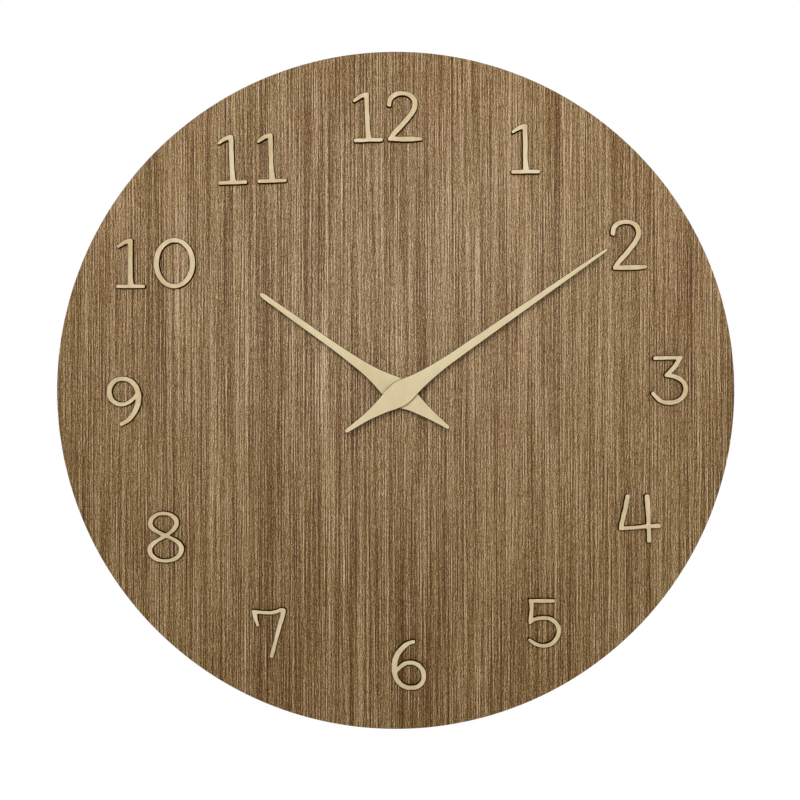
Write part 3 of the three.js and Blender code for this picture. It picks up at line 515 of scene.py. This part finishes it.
def smooth_line(line, ease, ripple=0.0):
    """A closed line made dense and smooth, with its corners eased and its edge rippled a little."""
    count = len(line)
    steps = [line[(i + 1) % count] - line[i] for i in range(count)]
    directions = []
    for i in range(count):
        into, out = steps[i - 1], steps[i]
        if turn_at(line[i - 1], line[i], line[(i + 1) % count]) > CORNER_TURN:
            directions.append((into.normalized(), out.normalized()))
        else:
            middle = into.normalized() * out.length + out.normalized() * into.length
            directions.append((middle.normalized(), middle.normalized()))
    dense = []
    for i in range(count):
        start, end = line[i], line[(i + 1) % count]
        length = steps[i].length
        leave, arrive = directions[i][1] * length, directions[(i + 1) % count][0] * length
        pieces = max(1, math.ceil(length / LINE_STEP))
        for k in range(pieces):
            t = k / pieces
            dense.append(
                start * (2 * t**3 - 3 * t**2 + 1)
                + leave * (t**3 - 2 * t**2 + t)
                + end * (3 * t**2 - 2 * t**3)
                + arrive * (t**3 - t**2)
            )
    for _ in range(ease):
        following = dense[1:] + dense[:1]
        dense = [(dense[i - 1] + here * 2 + following[i]) / 4 for i, here in enumerate(dense)]
    if not ripple:
        return dense
    inward = inward_normals(dense)
    return [
        here + side * ripple * noise.noise(Vector((here.x, here.y, 0)) / RIPPLE_LENGTH)
        for here, side in zip(dense, inward)
    ]


def inward_normals(line):
    """For each point of a closed line, the direction to its left, where the material is."""
    normals = []
    for i in range(len(line)):
        ahead = line[(i + 1) % len(line)] - line[i - 1]
        normals.append(Vector((-ahead.y, ahead.x)).normalized())
    return normals


def on_circle(centre, radius, turn):
    """The point of a circle at this turn, anticlockwise from its right."""
    return Vector((centre[0] + radius * math.cos(turn), centre[1] + radius * math.sin(turn)))


def circle(centre, radius, sides):
    """A closed line round a centre, anticlockwise."""
    return [on_circle(centre, radius, 2 * math.pi * i / sides) for i in range(sides)]


# Pieces


def finished(name, mesh, node, replaced=True):
    """A new piece with this mesh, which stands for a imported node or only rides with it."""
    piece = bpy.data.objects.new(name, mesh)
    bpy.context.scene.collection.objects.link(piece)
    slot = SLOTS[node]
    mesh.materials.append(FINISHES[slot])
    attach(piece, BODY_OF[node])
    if replaced:
        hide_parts(node)
    return piece


def mesh_from(work, name):
    """The finished mesh of a bmesh, shaded smooth except across its sharp edges."""
    bmesh.ops.recalc_face_normals(work, faces=work.faces)
    mesh = bpy.data.meshes.new(name)
    work.to_mesh(mesh)
    work.free()
    mesh.shade_smooth()
    mesh.set_sharp_from_angle(angle=SHARP_TURN)
    return mesh


def rim_profile(back, front, rim, lean):
    """Pairs of (inset, depth) from the back face to the front face of a board with rounded rims.

    A cut that leans has its foot further out than its outline, and its front half as far out.
    """
    toward = 1 if front > back else -1
    quarter = [math.pi / 2 * i / RIM_STEPS for i in range(RIM_STEPS + 1)]
    start = [
        (rim * (1 - math.sin(t)) - lean, back + toward * rim * (1 - math.cos(t))) for t in quarter
    ]
    end = [
        (rim * (1 - math.cos(t)) - lean / 2, front - toward * rim * (1 - math.sin(t))) for t in quarter
    ]
    return start + end


def board(name, node, lines, rim, lean=0.0, edge=None):
    """A flat piece with these outlines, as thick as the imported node, with rounded rims.

    The edge, where given, is the finish of its walls and rims.
    """
    low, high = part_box(node)
    work = bmesh.new()
    profile = rim_profile(high.y, low.y, rim, lean)
    caps = ([], [])
    for line in lines:
        inward = inward_normals(line)
        rings = []
        for inset, depth in profile:
            points = [here + side * inset for here, side in zip(line, inward)]
            rings.append([work.verts.new((point.x, depth, point.y)) for point in points])
        for near, far in zip(rings, rings[1:]):
            for i in range(len(line)):
                wall = work.faces.new((near[i - 1], near[i], far[i], far[i - 1]))
                wall.material_index = 1 if edge else 0
        caps[0].append(rings[0])
        caps[1].append(rings[-1])
    triangles = geometry.tessellate_polygon([[point.to_3d() for point in line] for line in lines])
    for cap in caps:
        verts = [vert for ring in cap for vert in ring]
        for corners in triangles:
            work.faces.new([verts[corner] for corner in corners])
    piece = finished(name, mesh_from(work, name), node)
    if edge:
        piece.data.materials.append(FINISHES[edge])
    return piece


def refined(node):
    """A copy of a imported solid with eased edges, its round walls shaded smooth."""
    work = bmesh.new()
    work.from_mesh(NODES[node].data)
    bmesh.ops.remove_doubles(work, verts=work.verts, dist=WELD)
    bmesh.ops.dissolve_limit(work, angle_limit=FLAT_TURN, verts=work.verts, edges=work.edges)
    name = node + "_fine"
    piece = finished(name, mesh_from(work, name), node)
    bevel = piece.modifiers.new("ease", "BEVEL")
    bevel.width = EASES[node]
    bevel.segments = 2
    bevel.limit_method = "ANGLE"
    bevel.angle_limit = EASED_TURN
    bevel.harden_normals = True
    return piece


def spun(name, node, profile, centre, replaced=True):
    """A round piece lying along X: a profile of (x, radius) turned about the line at centre (y, z)."""
    work = bmesh.new()
    rings = []
    for x, radius in profile:
        if radius == 0:
            rings.append([work.verts.new((x, centre[0], centre[1]))])
            continue
        points = circle(centre, radius, BATTERY_SIDES)
        rings.append([work.verts.new((x, point.x, point.y)) for point in points])
    for near, far in zip(rings, rings[1:]):
        for i in range(BATTERY_SIDES):
            places = ((near, i - 1), (near, i), (far, i), (far, i - 1))
            corners = [ring[place % len(ring)] for ring, place in places]
            work.faces.new(list(dict.fromkeys(corners)))
    return finished(name, mesh_from(work, name), node, replaced)


# The clock


def make_disc():
    """Veneer, core and veneer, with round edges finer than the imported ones."""
    low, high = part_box("dial_core")
    radius = (high.x - low.x) / 2
    centre = ((low.x + high.x) / 2, (low.z + high.z) / 2)
    _, bore = front_outlines("front_veneer")
    hole = circle((0, 0), max(point.length for point in bore), BORE_SIDES)
    for node in ("front_veneer", "dial_core", "back_veneer"):
        lines = ordered([circle(centre, radius, DISC_SIDES), hole])
        board(node + "_sheet", node, lines, RIMS[node])


def make_figures():
    """The cut figures, with burnt walls that lean a little."""
    for node in NODES:
        if node.startswith("numeral_"):
            lines = [smooth_line(line, FIGURE_EASING, FIGURE_RIPPLE) for line in front_outlines(node)]
            board(node + "_cut", node, lines, FIGURE_RIM, FIGURE_LEAN, "burnt_edge")


def make_hands():
    """The two cut hands, with burnt walls."""
    for node in ("hour_hand", "minute_hand"):
        lines = [smooth_line(line, HAND_EASING, HAND_RIPPLE) for line in front_outlines(node)]
        board(node + "_blade", node, lines, HAND_RIM, HAND_LEAN, "burnt_edge")


def round_lines(node):
    """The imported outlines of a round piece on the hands' axis, as true circles."""
    radii = [max(point.length for point in line) for line in front_outlines(node)]
    return ordered([circle((0, 0), radius, RING_SIDES) for radius in radii])


def make_fixing():
    """The rings on the bush and the hands, the nut and the hanging plate."""
    for node in ("washer", "rubber_gasket", "hour_collet", "minute_collet"):
        board(node + "_round", node, round_lines(node), RIMS[node])
    hexagon, bore = front_outlines("hex_nut")
    eased = smooth_line(hexagon, ease=2)
    thread = circle((0, 0), max(point.length for point in bore), THREAD_SIDES)
    board("hex_nut_turned", "hex_nut", ordered([eased, thread]), RIMS["hex_nut"])
    plate = [smooth_line(line, ease=1) for line in front_outlines("hanger_plate")]
    board("hanger_plate_pressed", "hanger_plate", plate, RIMS["hanger_plate"])


def make_battery():
    """A steel cell in its sleeve: rolled shoulders, a raised nub and a plain base."""
    low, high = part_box("battery")
    centre = ((low.y + high.y) / 2, (low.z + high.z) / 2)
    radius = (high.z - low.z) / 2
    left, shoulder = low.x, high.x - BATTERY_SHOULDER
    lip = radius - 1.3 * MM
    rolled = [(0.9 * MM, 0), (0.9 * MM, lip), (0.5 * MM, lip), (0.25 * MM, radius - 1.1 * MM)]
    rolled += arc_profile(0.95 * MM, radius - SLEEVE_BEND, SLEEVE_BEND, 180, 90)
    sleeve = [(left + inward, away) for inward, away in rolled]
    sleeve += [(shoulder - inward, away) for inward, away in reversed(rolled)]
    spun("battery_sleeve", "battery", sleeve, centre)
    base = [(left + 0.45 * MM, 0), (left + 0.45 * MM, 4.0 * MM)]
    base += arc_profile(left + 0.6 * MM, 4.4 * MM, 0.35 * MM, 180, 90)
    rim = radius - 1.0 * MM
    base += [(left + 0.6 * MM, rim), (left + 1.2 * MM, rim), (left + 1.2 * MM, 0)]
    nub = BATTERY_NUB / 2
    cap = [(shoulder - 1.2 * MM, 0), (shoulder - 1.2 * MM, rim), (shoulder - 0.6 * MM, rim)]
    cap += [(shoulder - 0.5 * MM, nub + 0.6 * MM), (shoulder - 0.35 * MM, nub + 0.15 * MM)]
    cap += arc_profile(high.x - 0.4 * MM, nub - 0.4 * MM, 0.4 * MM, 90, 0)
    cap += [(high.x, 0)]
    for name, profile in (("battery_base", base), ("battery_nub", cap)):
        end = spun(name, "battery", profile, centre, replaced=False)
        end.data.materials[0] = FINISHES["steel"]


def arc_profile(x, radius, bend, start, stop):
    """Points of (x, radius) round a bend, from one angle to another in degrees."""
    turns = [math.radians(start + (stop - start) * i / BEND_STEPS) for i in range(BEND_STEPS + 1)]
    return [(x + bend * math.cos(t), radius + bend * math.sin(t)) for t in turns]


def cutter(points, surface):
    """A closed tool of this outline that sinks the engraving's depth below a face at this depth y."""
    mesh = bpy.data.meshes.new("cutter")
    count = len(points)
    verts = [(x, y, z) for y in (surface + TOOL_HEIGHT, surface - ENGRAVING) for x, z in points]
    walls = [(i, (i + 1) % count, (i + 1) % count + count, i + count) for i in range(count)]
    caps = [tuple(range(count)), tuple(range(2 * count - 1, count - 1, -1))]
    mesh.from_pydata(verts, [], caps + walls)
    work = bmesh.new()
    work.from_mesh(mesh)
    bmesh.ops.recalc_face_normals(work, faces=work.faces)
    work.to_mesh(mesh)
    work.free()
    tool = bpy.data.objects.new("cutter", mesh)
    bpy.context.scene.collection.objects.link(tool)
    return tool


def engrave(piece, tools):
    """Cuts the tools out of the piece, after its other modifiers, and takes them away."""
    for tool in tools:
        cut = piece.modifiers.new("engraving", "BOOLEAN")
        cut.operation = "DIFFERENCE"
        cut.solver = "EXACT"
        cut.object = tool
    shown = piece.evaluated_get(bpy.context.evaluated_depsgraph_get())
    mesh = bpy.data.meshes.new_from_object(shown)
    piece.modifiers.clear()
    piece.data = mesh
    for tool in tools:
        bpy.data.objects.remove(tool)


def bar(centre, long, wide, upright=False):
    """The corners of a straight bar round a centre."""
    half = (wide / 2, long / 2) if upright else (long / 2, wide / 2)
    corners = ((-1, -1), (1, -1), (1, 1), (-1, 1))
    return [(centre[0] + x * half[0], centre[1] + z * half[1]) for x, z in corners]


def turning_arrow(centre, radius, wide, start, stop):
    """A bent arrow round a centre, from one angle to another in degrees."""
    turns = [math.radians(start + (stop - start) * i / ARROW_STEPS) for i in range(ARROW_STEPS + 1)]
    tip = math.radians(stop + math.copysign(ARROW_HEAD_TURN, stop - start))
    outer = [on_circle(centre, radius + wide / 2, turn) for turn in turns]
    head = [
        on_circle(centre, radius + 1.5 * wide, turns[-1]),
        on_circle(centre, radius, tip),
        on_circle(centre, radius - 1.5 * wide, turns[-1]),
    ]
    inner = [on_circle(centre, radius - wide / 2, turn) for turn in reversed(turns)]
    return outer + head + inner


def make_cover():
    """The back cover, with the setting arrow and the battery's signs sunk into it."""
    cover = refined("movement_cover")
    low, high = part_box("movement_cover")
    knob_low, knob_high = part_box("setting_knob")
    knob = ((knob_low.x + knob_high.x) / 2, (knob_low.z + knob_high.z) / 2)
    reach = (knob_high.x - knob_low.x) / 2 + ARROW_GAP
    plus = (high.x - SIGN_INSET, low.z + SIGN_HEIGHT)
    minus = (low.x + SIGN_INSET, low.z + SIGN_HEIGHT)
    signs = [
        turning_arrow(knob, reach, ARROW_WIDTH, start=-60, stop=-150),
        turning_arrow(knob, reach, ARROW_WIDTH, start=120, stop=30),
        bar(plus, SIGN_LENGTH, SIGN_WIDTH),
        bar(plus, SIGN_LENGTH, SIGN_WIDTH, upright=True),
        bar(minus, SIGN_LENGTH, SIGN_WIDTH),
    ]
    tools = [cutter(sign, high.y) for sign in signs]
    engrave(cover, tools)


def make_movement():
    """The moulded pieces and the contacts with eased edges, and finishes on all that shows as packed."""
    make_cover()
    for node in ("movement_case", "setting_knob", "positive_contact", "negative_contact"):
        refined(node)
    for node, mesh_object in NODES.items():
        if not mesh_object.hide_render:
            mesh_object.data.materials.clear()
            mesh_object.data.materials.append(FINISHES[SLOTS[node]])


# Studio


def stage_plane(name, place, turn, shade_share):
    """A pale sheet that shows white, apart from this share of its own light and shade."""
    mesh = bpy.data.meshes.new(name)
    half = STAGE_SIZE / 2
    corners = [(-half, -half, 0), (half, -half, 0), (half, half, 0), (-half, half, 0)]
    mesh.from_pydata(corners, [], [(0, 1, 2, 3)])
    sheet = bpy.data.objects.new(name, mesh)
    sheet.location = place
    sheet.rotation_euler = turn
    bpy.context.scene.collection.objects.link(sheet)
    finish = Finish(name, 0.9, specular=0.2)
    finish.colour(finish.mix(finish.noise((60, 60, 60), 2.0), srgb(238, 238, 236), srgb(246, 246, 245)))
    glow = finish.node("Emission", {"Color": (1, 1, 1, 1), "Strength": 1.0}).outputs[0]
    path = finish.node("LightPath", {})
    seen = finish.math("MAXIMUM", path.outputs["Is Camera Ray"], path.outputs["Is Glossy Ray"])
    seen = finish.math("MAXIMUM", seen, path.outputs["Is Transmission Ray"])
    shown = finish.math("MULTIPLY", seen, 1 - shade_share)
    mixed = finish.node("MixShader", {0: shown, 1: finish.shader.outputs[0], 2: glow}).outputs[0]
    output = finish.tree.nodes["Material Output"]
    finish.tree.links.new(mixed, output.inputs["Surface"])
    mesh.materials.append(finish.material)


def area_light(name, place, target, size, power):
    """A round lamp turned to its target, and not seen by the camera."""
    lamp = bpy.data.lights.new(name, "AREA")
    lamp.shape = "DISK"
    lamp.size = size
    lamp.energy = power
    light = bpy.data.objects.new(name, lamp)
    light.visible_camera = False
    light.location = place
    light.rotation_euler = (Vector(target) - Vector(place)).to_track_quat("-Z", "Y").to_euler()
    bpy.context.scene.collection.objects.link(light)


def make_world(ambient):
    """Even pale light all round, which the camera, metal and glass see as white."""
    world = bpy.data.worlds.new("studio")
    bpy.context.scene.world = world
    world.use_nodes = True
    tree = world.node_tree
    lit = tree.nodes["Background"]
    lit.inputs["Color"].default_value = (ambient, ambient, ambient, 1)
    white = tree.nodes.new("ShaderNodeBackground")
    white.inputs["Color"].default_value = (1, 1, 1, 1)
    path = tree.nodes.new("ShaderNodeLightPath")
    seen = path.outputs["Is Camera Ray"]
    for ray in ("Is Glossy Ray", "Is Transmission Ray"):
        either = tree.nodes.new("ShaderNodeMath")
        either.operation = "MAXIMUM"
        tree.links.new(seen, either.inputs[0])
        tree.links.new(path.outputs[ray], either.inputs[1])
        seen = either.outputs[0]
    mixed = tree.nodes.new("ShaderNodeMixShader")
    tree.links.new(seen, mixed.inputs[0])
    tree.links.new(lit.outputs[0], mixed.inputs[1])
    tree.links.new(white.outputs[0], mixed.inputs[2])
    tree.links.new(mixed.outputs[0], tree.nodes["World Output"].inputs["Surface"])


def make_camera():
    """A camera square to the dial, with the dial where the photograph has it."""
    low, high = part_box("front_veneer")
    across = (PHOTO_WIDTH / 2 - DIAL_CENTRE_PIXEL[0]) * PIXEL
    down = (PHOTO_WIDTH / 2 - DIAL_CENTRE_PIXEL[1]) * PIXEL
    data = bpy.data.cameras.new("camera")
    data.sensor_width = SENSOR_WIDTH
    data.lens = SENSOR_WIDTH * CAMERA_DISTANCE / (PHOTO_WIDTH * PIXEL)
    camera = bpy.data.objects.new("camera", data)
    middle_x, middle_z = (low.x + high.x) / 2, (low.z + high.z) / 2
    camera.location = (middle_x + across, low.y - CAMERA_DISTANCE, middle_z - down)
    camera.rotation_euler = (math.pi / 2, 0, 0)
    bpy.context.scene.collection.objects.link(camera)
    bpy.context.scene.camera = camera


def make_studio():
    """The pale room, the lamps and the camera."""
    stage_plane("studio_floor", place=(0, 0, FLOOR_HEIGHT), turn=(0, 0, 0), shade_share=0.35)
    stage_plane("studio_wall", place=(0, WALL_DEPTH, 0), turn=(math.pi / 2, 0, 0), shade_share=0.0)
    make_world(ambient=0.1)
    area_light("key", (-0.03, -0.7, 0.166), target=(-0.02, 0, 0.08), size=0.34, power=3.6)
    area_light("front_fill", (0.9, -0.8, 0.25), target=(0, 0, 0), size=0.6, power=2.2)
    area_light("left_fill", (-0.75, 0.4, 0.25), target=(0, 0, 0), size=0.6, power=4.5)
    area_light("right_fill", (0.75, 0.4, 0.25), target=(0, 0, 0), size=0.6, power=4.5)
    area_light("back_fill", (0.1, 0.95, 0.45), target=(0, 0, 0), size=0.8, power=6.0)
    make_camera()
    bpy.context.scene.view_settings.view_transform = "Standard"


FINISHES = make_finishes()
make_disc()
make_figures()
make_hands()
make_fixing()
make_battery()
make_movement()
make_studio()
